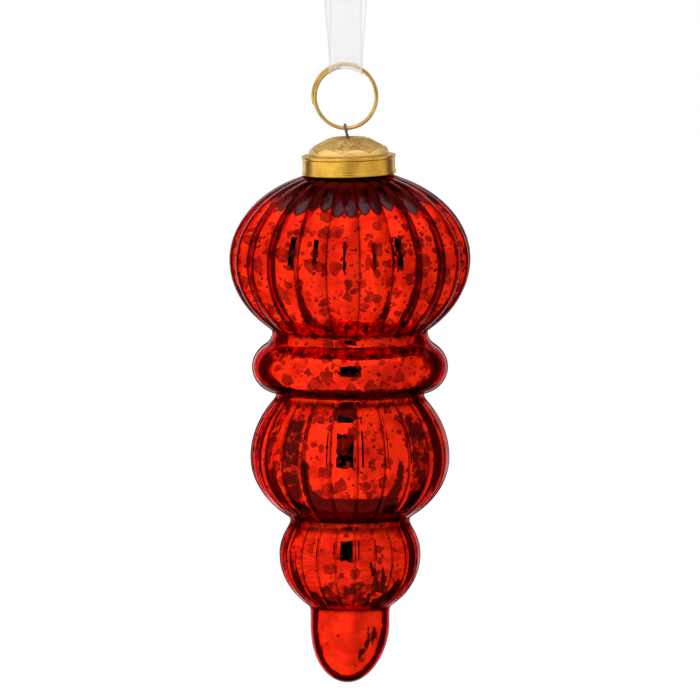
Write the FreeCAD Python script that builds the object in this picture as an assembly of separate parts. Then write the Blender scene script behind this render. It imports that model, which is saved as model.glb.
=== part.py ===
"""Fluted glass Christmas ornament: a tall mould-blown body hung by a wire, a split ring and a ribbon.

Millimetres, +Z up, hanging as in use. The origin is the hanging point, at the top of the
ribbon loop, inside. The split ring faces -Y, and its lowest point is straight below the origin.
"""

import FreeCAD
import Part
import math
import os
from FreeCAD import Placement, Rotation, Vector

# Ribbon
RIBBON_WIDTH = 12.7
RIBBON_THICKNESS = 0.3
RIBBON_TOP_HALF_GAP = 4.0  # inside the top of the loop, where a twig or hook goes
RIBBON_TOP_ROUND = 3.8
RIBBON_BEND_ROUND = 20.0  # where the legs start to part, above the ring
RIBBON_PLAY = 0.25  # between the ribbon's wrap and the ring's wire
RIBBON_UPRIGHT = 13.0  # above the ring's centre, up to where the legs part
RIBBON_OVERLAP = 3.0  # between the curved wrap and the flat legs
RIBBON_SPARE_TURN = 5.0  # degrees that the wrap is turned past its edges before the trim
HANG_TO_RING = 90.0  # hanging point to the ring's centre

# Split ring: one long turn of round wire, whose sprung end lies outside and behind the other
RING_RADIUS = 9.75  # to the wire's centre line
RING_WIRE = 1.17
RING_SPRUNG_EXTRA = 0.42  # how much larger the sprung stretch's radius is
RING_SPRUNG_REACH = 1.3  # how far behind the sprung stretch stands at its farthest
RING_JOG_ANGLE = -30.0  # where the sprung stretch leaves the flat one, from +X towards +Z
RING_INNER_END = 100.0
RING_OUTER_END = 195.0

# Wire hook
HOOK_WIRE = 0.75
HOOK_PLAY = 0.19  # between the eye and the ring's wire
HOOK_EYE_FOOT = 0.3  # the eye's sides end this far below its centre
HOOK_STRAND_GAP = 0.28  # between the strands at their throat, under the cap's hole
HOOK_TWIST = 85.0  # degrees that the strands twist from the eye to the throat
HOOK_THROAT_DROP = 1.2  # below the hole
HOOK_KNEE_DROP = 5.5  # below the cap's seat
HOOK_TOE_DROP = 10.5
HOOK_KNEE_ROUND = 3.0
HOOK_THROAT_ROUND = 1.2
HOOK_EYE_FOOT_ROUND = 2.5
HOOK_TOE_TURN = 1.4  # how far a leg's end turns in again
HOOK_LEG_PLAY = 0.3  # between a spring leg and the neck

# Cap. Heights are above its seat on the glass.
CAP_PLAY = 0.7  # between the band and the neck
CAP_SHEET = 0.4
CAP_ABOVE_GLASS = 0.4  # between the band's lower edge and the upper bulb
CAP_BEAD_RISE = 0.15  # the beads at the band's edges stand out this far
CAP_BEAD_ROUND = 0.45
CAP_EDGE_ROUND = 0.6
CAP_LEDGE = 2.4  # from the band in to the crown's foot
CAP_SHOULDER_HEIGHT = 2.4
CAP_SHOULDER_ROUND = 2.2
CAP_RIM_RADIUS = 5.2
CAP_RIM_ROUND = 0.6
CAP_CROWN_HEIGHT = 6.0
CAP_DIMPLE_RADIUS = 3.6
CAP_DIMPLE_DEPTH = 0.9
CAP_HOLE_PLAY = 0.5  # between the hole and the wire
CAP_PETALS = 8
CAP_PETAL_RISE = 0.3
CAP_PETAL_HEIGHT = 2.7  # a petal's arch at its middle
CAP_NOTCH_HEIGHT = 1.3  # where the arches of two petals meet
CAP_PETAL_TURN = 20.5  # the first petal's place, from the front towards +X
CAP_TILT = 1.5  # degrees, left side low
CAP_OFF_CENTRE = 0.45  # the cap sits this far left of the neck's axis
EYE_ABOVE_CROWN = 2.8

# Glass. Levels are steps down its axis, and radii are outer ones, over the lobes' crowns.
GLASS_OFFSET = 1.4  # the glass's axis, right of the ring's lowest point
FLUTES = 22
FLUTE_TURN = 13.85  # a groove's place, from the front towards +X
FLUTE_SECTIONS = 9
WALL = 1.6  # least thickness, under the grooves
NECK_RADIUS = 13.6
NECK_WALL = 1.9
RIM_TO_UPPER = 32.6  # rim to the upper bulb's widest level
UPPER_RADIUS = 38.1
UPPER_RISE = 28.4
UPPER_FALL = 29.2
UPPER_GROOVE = 0.968  # a groove's radius over its crowns' radius
UPPER_TO_WAIST = 21.6
WAIST_RADIUS = 24.2
WAIST_FLARE = 7.5
WAIST_TO_BEAD = 12.45
BEAD_RADIUS = 30.9
BEAD_ROUND = 8.0
BEAD_TO_MIDDLE = 28.65
SECOND_WAIST_RADIUS = 23.3
MIDDLE_RADIUS = 31.3
MIDDLE_RISE = 28.2
MIDDLE_FALL = 23.7
MIDDLE_GROOVE = 0.972
MIDDLE_TO_LOWER = 30.9
THIRD_WAIST_RADIUS = 18.65
LOWER_RADIUS = 22.2
LOWER_RISE = 18.3
LOWER_FALL = 19.9
LOWER_GROOVE = 0.98
LOWER_TO_FINIAL = 21.8
FINIAL_RADIUS = 12.45
FINIAL_LENGTH = 19.0  # its widest level to the tip
BULB_ENDS_INSIDE = 0.8  # a bulb's lobes end at this share of the neck or waist that they run into

# Levels that follow
ring_centre_z = -HANG_TO_RING
eye_z = ring_centre_z - RING_RADIUS
seat_z = eye_z - EYE_ABOVE_CROWN - CAP_CROWN_HEIGHT
upper_z = seat_z - RIM_TO_UPPER
waist_z = upper_z - UPPER_TO_WAIST
bead_z = waist_z - WAIST_TO_BEAD
middle_z = bead_z - BEAD_TO_MIDDLE
lower_z = middle_z - MIDDLE_TO_LOWER
finial_z = lower_z - LOWER_TO_FINIAL

up = Vector(0, 0, 1)
glass_axis = Vector(GLASS_OFFSET, 0, 0)
cap_place = Vector(GLASS_OFFSET - CAP_OFF_CENTRE, 0, seat_z)
cap_seat = Placement(cap_place, Rotation(Vector(0, 1, 0), -CAP_TILT))
cap_radius = NECK_RADIUS + CAP_PLAY + CAP_SHEET


# Shared shapes

def rounded_path(points, corner_radii):
    """A wire of straight runs through points, with a tangent arc of its own radius at each inner point."""
    edges = []
    start = points[0]
    for before, corner, after, radius in zip(points, points[1:], points[2:], corner_radii):
        arriving = (corner - before).normalize()
        leaving = (after - corner).normalize()
        turn = arriving.getAngle(leaving)
        if radius == 0 or turn < 1e-6:
            edges.append(Part.LineSegment(start, corner).toShape())
            start = corner
            continue
        reach = radius * math.tan(turn / 2)
        first = corner - arriving * reach
        last = corner + leaving * reach
        inward = (leaving - arriving).normalize()
        middle = corner + inward * (radius / math.cos(turn / 2) - radius)
        edges.append(Part.LineSegment(start, first).toShape())
        edges.append(Part.Arc(first, middle, last).toShape())
        start = last
    edges.append(Part.LineSegment(start, points[-1]).toShape())
    return Part.Wire(edges)


def upright_plane(points):
    """Points in the XZ plane from (radius, height) pairs."""
    return [Vector(radius, 0, height) for radius, height in points]


def sheet_face(path, inside, outside):
    """The face between two offsets from an open path, both to its left."""
    first = path.makeOffset2D(-inside, 0, False, True) if inside else path
    return first.makeOffset2D(inside - outside, 0, True, True)


def strip_face(path, thickness):
    """A face of even thickness with an open path along its middle."""
    side = path.makeOffset2D(thickness / 2, 0, False, True)
    return side.makeOffset2D(-thickness, 0, True, True)


def turned(face):
    """The solid that a face in the XZ plane makes when turned about the Z axis."""
    return face.revolve(Vector(0, 0, 0), up, 360)


def lines(points):
    """Straight edges through (radius, height) pairs."""
    corners = upright_plane(points)
    return [Part.LineSegment(a, b).toShape() for a, b in zip(corners, corners[1:])]


def arc(*points):
    """A round edge through three (radius, height) pairs."""
    return Part.Arc(*upright_plane(points)).toShape()


def oval_arc(radius, half, level, from_angle, to_angle):
    """A stretch of an oval about the axis. Angles are degrees up from its widest level."""
    centre, side, top = upright_plane([(0, level), (radius, level), (0, level + half)])
    oval = Part.Ellipse(side, top, centre) if radius > half else Part.Ellipse(top, side, centre)
    ends = []
    for angle in (from_angle, to_angle):
        t = math.radians(angle)
        ends.append(Vector(radius * math.cos(t), 0, level + half * math.sin(t)))
    first, last = sorted(oval.parameter(end) for end in ends)
    if last - first > math.pi:
        first, last = last - 2 * math.pi, first
    return Part.ArcOfEllipse(oval, first, last).toShape()


def angle_where(radius, widest):
    """Degrees from an oval's widest level to where it has narrowed to a radius."""
    return math.degrees(math.acos(radius / widest))


# Glass body

def fluted_section(level, crown, share):
    """A closed ring of round lobes, one arc from groove to groove."""
    arcs = []
    step = 360.0 / FLUTES
    for lobe in range(FLUTES):
        points = []
        for radius, turns in ((crown * share, 0), (crown, 0.5), (crown * share, 1)):
            angle = math.radians(FLUTE_TURN - 90 + step * (lobe + turns))
            points.append(Vector(radius * math.cos(angle), radius * math.sin(angle), level))
        arcs.append(Part.Arc(*points).toShape())
    return Part.Wire(arcs)


def fluted_bulb(level, radius, rise, fall, share, neck_above, neck_below):
    """An oval bulb of lobes that end inside the necks above and below it."""
    top = angle_where(neck_above * BULB_ENDS_INSIDE, radius)
    foot = -angle_where(neck_below * BULB_ENDS_INSIDE, radius)
    sections = []
    for index in range(FLUTE_SECTIONS):
        angle = math.radians(foot + (top - foot) * index / (FLUTE_SECTIONS - 1))
        half = rise if angle > 0 else fall
        height = level + half * math.sin(angle)
        sections.append(fluted_section(height, radius * math.cos(angle), share))
    return Part.makeLoft(sections, True, False)


def flare_end():
    """(radius, height) where the first waist's concave flank meets the bead."""
    low, high = 0.0, WAIST_FLARE
    for _ in range(40):
        drop = (low + high) / 2
        radius, height = flare_at(drop)
        reach = math.hypot(radius - (BEAD_RADIUS - BEAD_ROUND), height - bead_z)
        low, high = (drop, high) if reach > BEAD_ROUND else (low, drop)
    return drop


def flare_at(drop):
    """(radius, height) on the first waist's flank, a drop below its narrowest level."""
    return WAIST_RADIUS + WAIST_FLARE - math.sqrt(WAIST_FLARE ** 2 - drop ** 2), waist_z - drop


def bead_at(radius, round_radius, side):
    """(radius, height) on the bead's round surface, on its upper (1) or lower (-1) side."""
    return radius, bead_z + side * math.sqrt(
        round_radius ** 2 - (radius - BEAD_RADIUS + BEAD_ROUND) ** 2
    )


def smooth_core(top):
    """What is smooth on the glass: neck, waists, bead and finial, as one turned solid."""
    drop = flare_end()
    tip = finial_z - FINIAL_LENGTH
    bead_foot = bead_at(SECOND_WAIST_RADIUS, BEAD_ROUND, -1)
    outline = lines([
        (0, top), (NECK_RADIUS, top), (NECK_RADIUS, upper_z), (WAIST_RADIUS, upper_z),
        (WAIST_RADIUS, waist_z),
    ])
    outline.append(arc((WAIST_RADIUS, waist_z), flare_at(drop / 2), flare_at(drop)))
    outline.append(arc(flare_at(drop), (BEAD_RADIUS, bead_z), bead_foot))
    outline += lines([
        bead_foot, (SECOND_WAIST_RADIUS, middle_z), (THIRD_WAIST_RADIUS, middle_z),
        (THIRD_WAIST_RADIUS, lower_z), (FINIAL_RADIUS, lower_z), (FINIAL_RADIUS, finial_z),
    ])
    outline.append(oval_arc(FINIAL_RADIUS, FINIAL_LENGTH, finial_z, -90, 0))
    outline += lines([(0, tip), (0, top)])
    return turned(Part.Face(Part.Wire(Part.__sortEdges__(outline))))


def cavity(top):
    """The blown space inside, smooth under the flutes and open at the neck."""
    neck = NECK_RADIUS - NECK_WALL
    waist = WAIST_RADIUS - WALL
    second = SECOND_WAIST_RADIUS - WALL
    third = THIRD_WAIST_RADIUS - WALL
    finial = FINIAL_RADIUS - WALL
    outline = [Part.LineSegment(Vector(0, 0, top), Vector(neck, 0, top)).toShape()]
    above = (neck, top)
    bulbs = (
        (upper_z, UPPER_RADIUS * UPPER_GROOVE, UPPER_RISE, UPPER_FALL, neck, waist),
        (middle_z, MIDDLE_RADIUS * MIDDLE_GROOVE, MIDDLE_RISE, MIDDLE_FALL, second, third),
        (lower_z, LOWER_RADIUS * LOWER_GROOVE, LOWER_RISE, LOWER_FALL, third, finial),
    )
    for level, groove, rise, fall, narrow_above, narrow_below in bulbs:
        radius = groove - WALL
        start = angle_where(narrow_above, radius)
        end = angle_where(narrow_below, radius)
        start_height = level + (rise - WALL) * math.sin(math.radians(start))
        end_height = level - (fall - WALL) * math.sin(math.radians(end))
        outline += lines([above, (narrow_above, start_height)])
        outline.append(oval_arc(radius, rise - WALL, level, 0, start))
        outline.append(oval_arc(radius, fall - WALL, level, -end, 0))
        above = (narrow_below, end_height)
        if level == upper_z:
            bead_top = bead_at(waist, BEAD_ROUND - WALL, 1)
            bead_foot = bead_at(second, BEAD_ROUND - WALL, -1)
            outline += lines([above, bead_top])
            outline.append(arc(bead_top, (BEAD_RADIUS - WALL, bead_z), bead_foot))
            above = bead_foot
    outline += lines([above, (finial, finial_z)])
    outline.append(oval_arc(finial, FINIAL_LENGTH - WALL, finial_z, -90, 0))
    outline += lines([(0, finial_z - FINIAL_LENGTH + WALL), (0, top)])
    return turned(Part.Face(Part.Wire(Part.__sortEdges__(outline))))


def above_the_seat():
    """A block over the cap's seat plane, which trims the rim to the way that the cap sits."""
    size = 4 * cap_radius
    block = Part.makeBox(size, size, size, Vector(-size / 2, -size / 2, 0))
    block.Placement = cap_seat
    return block


def make_glass_body():
    """The whole glass: one hollow shell with three fluted bulbs and a smooth finial."""
    top = seat_z + cap_radius * math.sin(math.radians(CAP_TILT)) + WALL
    bulbs = [
        fluted_bulb(upper_z, UPPER_RADIUS, UPPER_RISE, UPPER_FALL, UPPER_GROOVE,
                    NECK_RADIUS, WAIST_RADIUS),
        fluted_bulb(middle_z, MIDDLE_RADIUS, MIDDLE_RISE, MIDDLE_FALL, MIDDLE_GROOVE,
                    SECOND_WAIST_RADIUS, THIRD_WAIST_RADIUS),
        fluted_bulb(lower_z, LOWER_RADIUS, LOWER_RISE, LOWER_FALL, LOWER_GROOVE,
                    THIRD_WAIST_RADIUS, FINIAL_RADIUS),
    ]
    glass = smooth_core(top).fuse(bulbs).cut(cavity(top))
    glass.translate(glass_axis)
    return glass.cut(above_the_seat())


# Cap

def band_drop():
    """Height of the band, so that its lower edge clears the upper bulb all round."""
    inner = cap_radius - CAP_SHEET - CAP_OFF_CENTRE
    shoulder = UPPER_RISE * math.sqrt(1 - (inner / UPPER_RADIUS) ** 2)
    return RIM_TO_UPPER - shoulder - CAP_ABOVE_GLASS


def crown_face(inside, outside):
    """The crown's section between two offsets from its underside, up to the dimple."""
    floor = CAP_CROWN_HEIGHT - CAP_DIMPLE_DEPTH - CAP_SHEET
    foot = cap_radius - CAP_LEDGE - CAP_SHEET
    path = rounded_path(
        upright_plane([
            (foot, 0), (foot, CAP_SHOULDER_HEIGHT - CAP_SHEET),
            (CAP_RIM_RADIUS, CAP_CROWN_HEIGHT - CAP_SHEET),
            (CAP_DIMPLE_RADIUS, floor), (hole_radius(), floor),
        ]),
        [CAP_SHOULDER_ROUND - CAP_SHEET, CAP_RIM_ROUND, CAP_RIM_ROUND],
    )
    return sheet_face(path, inside, outside)


def petal_arches():
    """Round-topped blocks, one out from the axis over each petal, that meet in the notches."""
    half_chord = (cap_radius - CAP_LEDGE) * math.sin(math.pi / CAP_PETALS)
    sink = CAP_PETAL_HEIGHT - CAP_NOTCH_HEIGHT
    arch_radius = (half_chord ** 2 + sink ** 2) / (2 * sink)
    arches = []
    for petal in range(CAP_PETALS):
        arch = Part.makeCylinder(
            arch_radius, cap_radius, Vector(0, 0, CAP_PETAL_HEIGHT - arch_radius), Vector(0, -1, 0)
        )
        arch.rotate(Vector(0, 0, 0), up, CAP_PETAL_TURN + 360.0 * petal / CAP_PETALS)
        arches.append(arch)
    return arches


def make_cap():
    """The stamped cap: a beaded band, a ledge, a crown with a scalloped foot, and a holed dimple."""
    inner = cap_radius - CAP_SHEET
    drop = band_drop()
    band_path = rounded_path(
        upright_plane([(inner, -drop), (inner, 0), (inner - CAP_LEDGE, 0)]),
        [CAP_EDGE_ROUND - CAP_SHEET],
    )
    pieces = [turned(sheet_face(band_path, 0, CAP_SHEET))]
    for height in (CAP_BEAD_ROUND - drop, CAP_SHEET - CAP_BEAD_ROUND):
        bead = Part.makeTorus(
            cap_radius + CAP_BEAD_RISE - CAP_BEAD_ROUND, CAP_BEAD_ROUND, Vector(0, 0, height)
        )
        pieces.append(bead.cut(Part.makeCylinder(inner, 2 * CAP_BEAD_ROUND,
                                                 Vector(0, 0, height - CAP_BEAD_ROUND))))
    raised = turned(crown_face(CAP_SHEET / 2, CAP_SHEET + CAP_PETAL_RISE))
    pieces += [raised.common(arch) for arch in petal_arches()]
    cap = turned(crown_face(0, CAP_SHEET)).fuse(pieces)
    cap.Placement = cap_seat
    return cap


# Hook

def hook_frame():
    """The eye's centre, the hole's centre, and the direction from one to the other."""
    eye = Vector(0, 0, eye_z)
    hole = cap_seat.multVec(up * (CAP_CROWN_HEIGHT - CAP_DIMPLE_DEPTH))
    return eye, hole, (hole - eye).normalize()


def hole_radius():
    """The cap's hole, from where the strands cross its level."""
    eye, hole, _ = hook_frame()
    run = (hole - eye).Length + HOOK_THROAT_DROP - HOOK_EYE_FOOT
    share = HOOK_THROAT_DROP / run
    strand = throat_half() * (1 - share) + eye_radius() * share
    return strand + HOOK_WIRE / 2 + CAP_HOLE_PLAY


def eye_radius():
    """The eye's radius to its wire's centre line."""
    return (RING_WIRE + HOOK_WIRE) / 2 + HOOK_PLAY


def throat_half():
    """Half the distance between the two strands where they are nearest."""
    return (HOOK_WIRE + HOOK_STRAND_GAP) / 2


def make_wire_hook():
    """One bent wire: an eye round the ring, two strands through the cap's hole, two spring legs."""
    eye, hole, down = hook_frame()
    front = Vector(0, -1, 0)
    sideways = front.cross(down)
    twist = math.radians(HOOK_TWIST)
    throat_turn = (front * math.cos(twist) + sideways * math.sin(twist)) * throat_half()
    leg_reach = NECK_RADIUS - NECK_WALL - HOOK_LEG_PLAY - HOOK_WIRE / 2
    points = []
    for side in (1, -1):
        toe = Vector(side * (leg_reach - HOOK_TOE_TURN), 0, seat_z - HOOK_TOE_DROP)
        knee = Vector(side * leg_reach, 0, seat_z - HOOK_KNEE_DROP)
        beside_eye = eye + front * (side * eye_radius())
        strand = [
            toe + glass_axis,
            knee + glass_axis,
            hole + down * HOOK_THROAT_DROP + throat_turn * side,
            beside_eye + down * HOOK_EYE_FOOT,
            beside_eye - down * eye_radius(),
        ]
        points += strand if side == 1 else strand[::-1]
    rounds = [HOOK_KNEE_ROUND, HOOK_THROAT_ROUND, HOOK_EYE_FOOT_ROUND, 0.95 * eye_radius()]
    path = rounded_path(points, rounds + rounds[::-1])
    end = Part.Circle(points[0], points[1] - points[0], HOOK_WIRE / 2)
    return path.makePipe(Part.Face(Part.Wire(end.toShape())))


# Split ring

def sprung_offset(angle):
    """How far outside and behind the flat stretch the sprung one lies at an angle round the ring."""
    share = 1 - math.cos(math.radians(angle - RING_JOG_ANGLE))
    return RING_SPRUNG_EXTRA * share, RING_SPRUNG_REACH / 2 * share


def make_split_ring():
    """The split ring: a flat stretch and a sprung one, tangent where they part."""
    centre = Vector(0, 0, ring_centre_z)
    jog = math.radians(RING_JOG_ANGLE)
    outward = Vector(math.cos(jog), 0, math.sin(jog))
    along = Vector(-math.sin(jog), 0, math.cos(jog))
    parting = centre + outward * RING_RADIUS
    disc = Part.Face(Part.Wire(Part.Circle(parting, along, RING_WIRE / 2).toShape()))
    axis = Vector(0, -1, 0)
    flat = disc.revolve(centre, axis, RING_INNER_END - 360 - RING_JOG_ANGLE)
    sprung_radius = RING_RADIUS + RING_SPRUNG_EXTRA
    sprung_centre = parting - outward * sprung_radius
    sprung = disc.revolve(sprung_centre, axis, RING_OUTER_END - RING_JOG_ANGLE)
    lean = math.degrees(math.asin(RING_SPRUNG_REACH / 2 / sprung_radius))
    sprung.rotate(parting, along, -lean)
    return flat.fuse(sprung)


# Ribbon

def make_ribbon():
    """A loop of ribbon: a wrap that follows the ring's curve, and two legs to the hanging point."""
    half = RIBBON_WIDTH / 2
    outside, behind = sprung_offset(90 + math.degrees(math.asin(half / RING_RADIUS)))
    wrap = math.hypot(outside, behind) / 2 + RING_WIRE / 2 + RIBBON_PLAY + RIBBON_THICKNESS / 2
    wrap_out, wrap_y = RING_RADIUS + outside / 2, behind / 2
    bend_z = ring_centre_z + RIBBON_UPRIGHT

    reach = wrap_out + RIBBON_UPRIGHT
    front, bottom, back = (
        Vector(wrap_out, wrap_y - wrap, 0), Vector(wrap_out - wrap, wrap_y, 0),
        Vector(wrap_out, wrap_y + wrap, 0),
    )
    trough_path = Part.Wire([
        Part.LineSegment(Vector(reach, front.y, 0), front).toShape(),
        Part.Arc(front, bottom, back).toShape(),
        Part.LineSegment(back, Vector(reach, back.y, 0)).toShape(),
    ])
    trough = strip_face(trough_path, RIBBON_THICKNESS)
    spread = math.degrees(math.asin(half / (wrap_out - wrap - RIBBON_THICKNESS)))
    spread += RIBBON_SPARE_TURN
    trough.rotate(Vector(0, 0, 0), Vector(0, -1, 0), 90 - spread)
    trough = trough.revolve(Vector(0, 0, 0), Vector(0, -1, 0), 2 * spread)
    trough.translate(Vector(0, 0, ring_centre_z))
    trim_height = RIBBON_UPRIGHT - RIBBON_OVERLAP
    trim = Part.makeBox(
        RIBBON_WIDTH, 4 * wrap, trim_height, Vector(-half, wrap_y - 2 * wrap, ring_centre_z)
    )

    top_half = RIBBON_TOP_HALF_GAP + RIBBON_THICKNESS / 2
    top_z = RIBBON_THICKNESS / 2
    legs_path = rounded_path(
        [
            Vector(-half, y, z) for y, z in (
                (front.y, ring_centre_z + trim_height), (front.y, bend_z), (-top_half, top_z),
                (top_half, top_z), (back.y, bend_z), (back.y, ring_centre_z + trim_height),
            )
        ],
        [RIBBON_BEND_ROUND, RIBBON_TOP_ROUND, RIBBON_TOP_ROUND, RIBBON_BEND_ROUND],
    )
    legs = strip_face(legs_path, RIBBON_THICKNESS).extrude(Vector(RIBBON_WIDTH, 0, 0))
    return trough.common(trim).fuse(legs).removeSplitter()


MAKERS = {
    "glass_body": make_glass_body,
    "cap": make_cap,
    "wire_hook": make_wire_hook,
    "split_ring": make_split_ring,
    "ribbon": make_ribbon,
}

os.makedirs("parts", exist_ok=True)
for name, make in MAKERS.items():
    piece = make().Solids[0]
    piece.exportStep("parts/" + name + ".step")
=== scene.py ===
"""Looks of the fluted Christmas ornament: mottled red mirrored glass, stamped gold cap, wire and ribbon.

Metres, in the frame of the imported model: +Z up, origin at the top of the ribbon loop, -Y to the front.
Sizes are written in millimetres and multiplied by MM.
"""

import math

import bmesh
import bpy
import numpy as np
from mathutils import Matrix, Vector


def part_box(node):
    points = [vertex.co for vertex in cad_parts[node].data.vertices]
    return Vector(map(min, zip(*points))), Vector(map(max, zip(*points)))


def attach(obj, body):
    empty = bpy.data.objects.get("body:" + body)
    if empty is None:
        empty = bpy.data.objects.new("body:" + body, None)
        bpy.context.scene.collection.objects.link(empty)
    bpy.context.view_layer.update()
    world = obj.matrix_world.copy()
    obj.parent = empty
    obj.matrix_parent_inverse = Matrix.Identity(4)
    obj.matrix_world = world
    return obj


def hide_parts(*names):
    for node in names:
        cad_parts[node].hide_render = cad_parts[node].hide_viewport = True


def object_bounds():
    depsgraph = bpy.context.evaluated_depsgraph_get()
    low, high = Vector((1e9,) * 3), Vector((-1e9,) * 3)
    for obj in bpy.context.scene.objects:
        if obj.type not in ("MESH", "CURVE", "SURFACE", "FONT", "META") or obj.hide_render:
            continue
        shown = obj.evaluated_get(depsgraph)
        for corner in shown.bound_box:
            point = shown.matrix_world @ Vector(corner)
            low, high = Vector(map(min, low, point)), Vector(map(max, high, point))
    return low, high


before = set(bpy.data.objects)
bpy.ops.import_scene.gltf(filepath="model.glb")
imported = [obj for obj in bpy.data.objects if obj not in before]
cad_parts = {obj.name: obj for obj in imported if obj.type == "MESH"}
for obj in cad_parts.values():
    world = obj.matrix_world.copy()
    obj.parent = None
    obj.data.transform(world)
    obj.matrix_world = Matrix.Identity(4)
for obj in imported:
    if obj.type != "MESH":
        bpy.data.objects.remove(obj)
cad_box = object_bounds()

MM = 0.001

# Camera
CAMERA_AZIMUTH = 9.0  # degrees from the front towards +X
CAMERA_ELEVATION = 6.0
CAMERA_DISTANCE = 4000 * MM
AIM_ABOVE_TIP = 105.6 * MM
PICTURE_WIDTH = 220.7 * MM  # at the distance of the glass's axis
SENSOR = 36.0
FLOOR_DROP = 900 * MM  # far below the tip, since the ornament hangs
FLOOR_HALF = 12.0  # metres

# What mirrors see, as shares of full white. Heights and places across are sines of angles.
LEFT_LIGHT = 1.2
RIGHT_LIGHT = 0.84
LEFT_TO_RIGHT = (-0.05, 0.4)  # across, where one gives way to the other
TOP_LIGHT = 0.55  # what the upper front adds
TOP_FADE = (0.66, 0.85)  # heights between which it comes in
BELT_START = 107.0  # degrees away from the camera
BELT_END = 138.0
BELT_SOFT = 0.04
BELT_DARK = 0.92
CEILING_START = 91.0  # degrees away from the camera, overhead
CEILING_END = 158.0
CEILING_SOFT = 0.05
CEILING_FADE = (0.48, 0.66)
CEILING_DARK = 0.76
FLANK_LIGHT = 0.75  # how much of the belt and the ceiling is left out high up on either side
FLANK_ACROSS = (0.15, 0.35)
FLANK_FADE = (0.42, 0.56)
BACK_START = 160.0  # the dark strip that outlines the silhouettes
BACK_SOFT = 0.03
BACK_DARK = 0.97
GAP_HALF = 0.215  # the dark gap in the middle of the bright front
GAP_LOW = -0.10
GAP_HIGH = 0.67
GAP_SOFT = 0.015
SOFT_LIGHT = 0.55  # what matt things get from all round

# Lamps: name, azimuth and elevation in degrees, width in metres and power
LAMPS = (
    ("left_softbox", -32, 28, 0.9, 5.0),
    ("right_softbox", 44, 24, 0.8, 4.0),
)
LAMP_DISTANCE = 1300 * MM

# Glass. Levels are steps up from the finial's tip, and radii are outer ones.
FINIAL_LENGTH = 19.0
FINIAL_RADIUS = 12.45
FINIAL_TO_LOWER = 21.8
LOWER_TO_MIDDLE = 30.9
MIDDLE_TO_BEAD = 28.65
BEAD_TO_WAIST = 12.45
WAIST_TO_UPPER = 21.6
NECK_RADIUS = 13.6
NECK_WALL = 1.9
NECK_FOOT = 20.0  # above the upper bulb's widest level
WALL = 1.6
WAIST_RADIUS = 24.2
WAIST_FLARE = 7.5
FLARE_DROP = 5.2  # where the first waist's flare meets the bead
BEAD_RADIUS = 30.9
BEAD_ROUND = 8.0
SECOND_WAIST_RADIUS = 23.3
THIRD_WAIST_RADIUS = 18.65
FLUTES = 22
FLUTE_TURN = 13.85  # a groove's place, in degrees from the front towards +X
CREASE_ROUND = 0.35  # how softly two surfaces of the glass run into each other
GROOVE_ROUND = 0.12
LOBE_REACH = 1.4  # how far a lobe is followed past its groove, in halves of a lobe
FINIAL_LEAN = 0.8  # the tip hangs this far left of the axis
RIM_REACH = 4.0  # how far down the neck its rim's tilt is felt

# Bulbs from the top down: the widest level's name, radius, rise, fall, groove share and lobe power
BULBS = (
    ("upper", 38.1, 28.4, 29.2, 0.968, 2),
    ("middle", 31.3, 28.2, 23.7, 0.972, 8),
    ("lower", 22.2, 18.3, 19.9, 0.978, 8),
)
BULB_FEET = (WAIST_RADIUS, THIRD_WAIST_RADIUS, FINIAL_RADIUS)  # the radii that they end on below

# The glass's mesh
COLUMNS_A_FLUTE = 14
GROOVE_CROWDING = 0.06  # how much closer a lobe's columns stand towards its grooves, in shares of the lobe
OUTLINE_POINTS = 12000
OUTSIDE_STEP = 0.82
INSIDE_STEP = 3.0
INSIDE_COLUMNS = 2 * FLUTES

# Marks on the glass. A pair is where an edge starts and ends, and two pairs are a mark's two edges.
# UP is in mm above a widest level, and ACROSS is in degrees from the front towards +X.
GROOVE_LINE = 0.32  # half the width of the rougher line along a groove, darkened with painted shade
GROOVE_SHARE = (1.0, 0.85, 0.5)  # how dark the painted shade is in each bulb's groove lines
SEAM_LINE = 1.1  # half the width of the rougher line, darkened with painted shade, where a bulb meets a smooth stretch
SPOT_CROWDING = (  # a level's name, a rise from it, and how crowded the dull spots are there
    ("tip", 0, 0.03), ("finial", 0, 0.06), ("lower", 0, 0.35), ("middle", 0, 0.62), ("middle", 20, 0.85),
    ("bead", 0, 1.0), ("waist", 0, 0.9), ("upper", -8, 1.0), ("upper", 8, 0.75), ("upper", 20, 0.25),
)
COLLAR_UP = 16.8  # where the silvering thins out on the upper bulb, under a painted reflection of the dark overhead
COLLAR_FADE = 2.0
COLLAR_ARCH = 1.8  # how much higher it starts at the crowns and grooves than between them
COLLAR_SWAY = 1.1  # how much its height differs from lobe to lobe
COLLAR_SWAY_TURN = 2.3  # radians from lobe to lobe
COLLAR_MIDDLE = 9.0  # degrees, where the collar's painted reflection is darkest
COLLAR_SIDES = (34, 58)  # degrees from there over which it fades
COLLAR_SIDE_SHARE = 0.5
OVAL_REFLECTIONS_UP = 19.6  # pale ovals on the collar, painted reflections
OVAL_REFLECTION_HALF_HEIGHT = 2.6
OVAL_REFLECTION_HALF_WIDTH = 0.38  # in shares of half a lobe
RIDGE_SLOPE = 0.2  # how much steeper the upper bulb's mirror lobes look than the glass over them
RIDGE_ROUND = 0.9
TOP_SLOPE = 0.24  # how much less the middle bulb's mirror leans back than the glass over it, near its top
TOP_UP = (13.5, 18.8)
FOOT_DOWN = (15.5, 13.0, 9.5)  # below each bulb's widest level, where painted shade darkens it towards its foot
FOOT_FADE = (-3.5, 2.5)
FOOT_SHARE = (0.22, 0.6, 0.4)  # how dark the painted shade is
TIP_FADE = (1.4, 3.2)  # above the finial's tip, where painted shade darkens it towards the tip
SHADED_BANDS = ((-9.4, -4.6, 0.38), (4.2, 8.2, 0.8))  # painted shade above and below the bead: from and to, below the bead's middle, and how dark
SHADED_BAND_SOFT = 0.6
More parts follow.
